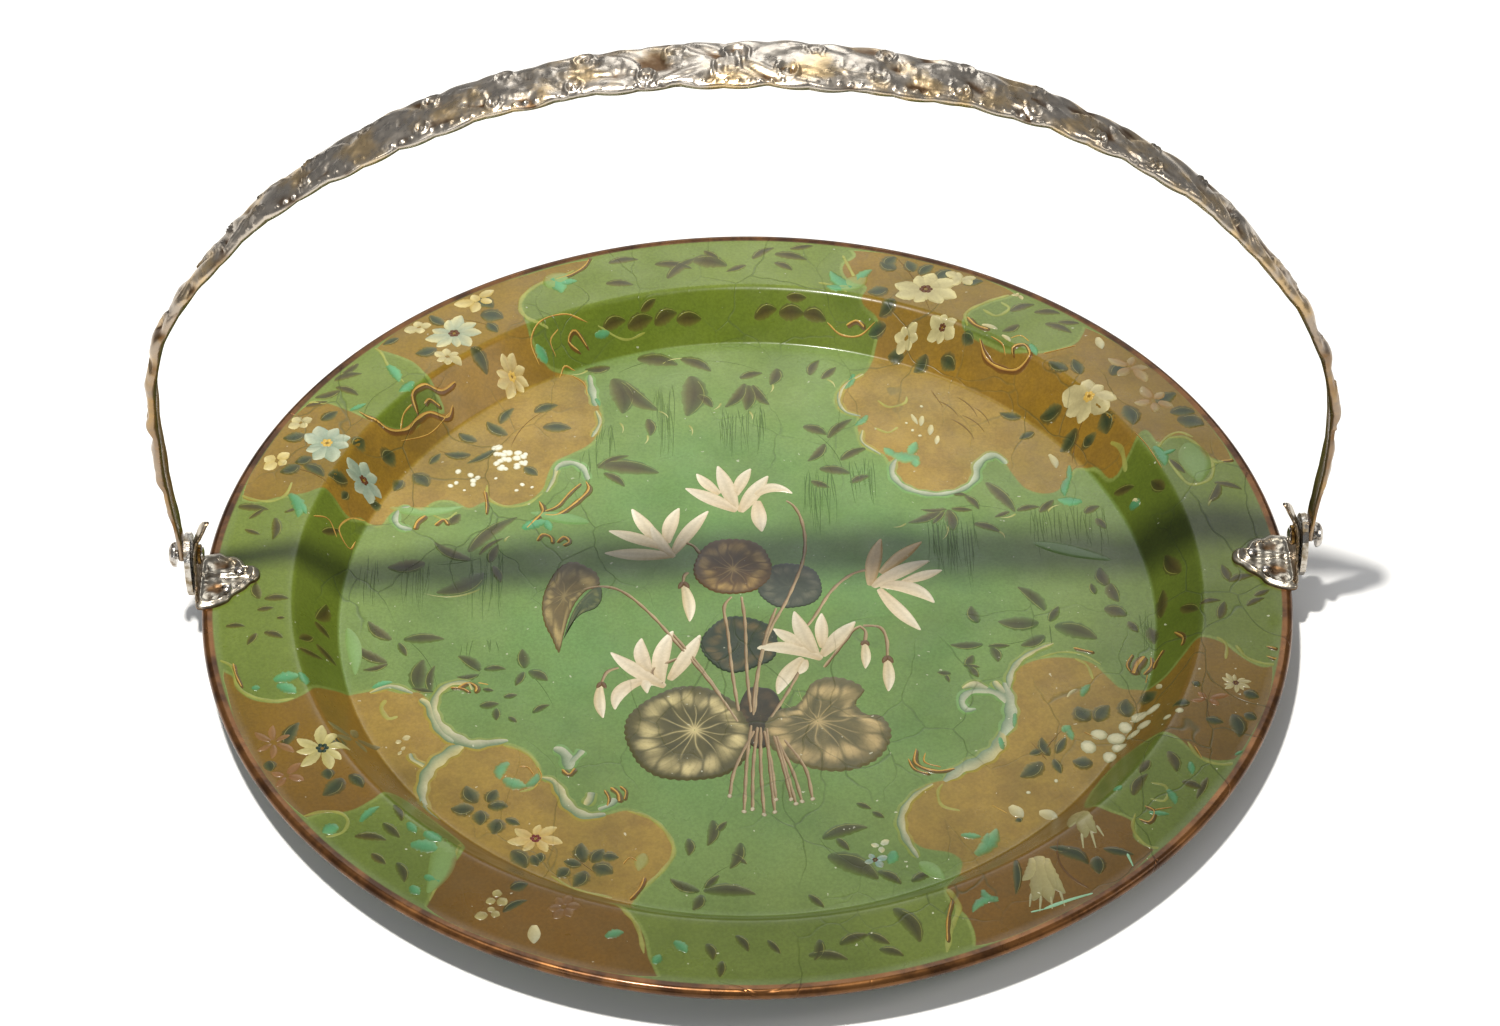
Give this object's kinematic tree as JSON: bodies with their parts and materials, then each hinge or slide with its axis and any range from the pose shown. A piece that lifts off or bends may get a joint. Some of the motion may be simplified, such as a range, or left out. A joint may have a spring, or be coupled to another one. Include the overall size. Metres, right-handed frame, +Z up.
{
  "type": "painted round tray with swing handle",
  "caption": "Round lacquered sheet-metal tray with a wired rim, painted flowers and scrolls, and a cast swing handle on leaf brackets.",
  "frame": {"origin": "middle of the well's underside, the flat face the tray rests on", "axes": "+Z up; X along the line through the two handle pivots; -Y is the front of the painting"},
  "size_m": [0.3928, 0.3698, 0.2325],
  "materials": {
    "lacquered_sheet": "semi-gloss lacquer over hand painting, fine age cracks",
    "iron_wire": "dull iron",
    "silvered_casting": "silvered casting, worn warm brass in the hollows",
    "aged_brass": "aged brass"
  },
  "bodies": {
    "tray": {"tray_pan": "lacquered_sheet", "rim_wire": "iron_wire", "bracket_left": "silvered_casting", "bracket_right": "silvered_casting", "pivot_shield_left": "silvered_casting", "pivot_shield_right": "silvered_casting", "pivot_rivet_left": "silvered_casting", "pivot_rivet_right": "silvered_casting", "pivot_burr_left": "aged_brass", "pivot_burr_right": "aged_brass", "bracket_rivet_left_back": "silvered_casting", "bracket_rivet_left_front": "silvered_casting", "bracket_rivet_right_back": "silvered_casting", "bracket_rivet_right_front": "silvered_casting", "backing_plate_left": "iron_wire", "backing_plate_right": "iron_wire"},
    "handle": {"handle_arch": "silvered_casting"}
  },
  "joints": [
    {"name": "handle_swing", "type": "hinge", "parent": "tray", "child": "handle", "pos_m": [0, 0, 0.0304], "axis": [1, 0, 0], "range_deg": [-94, 94]}
  ]
}
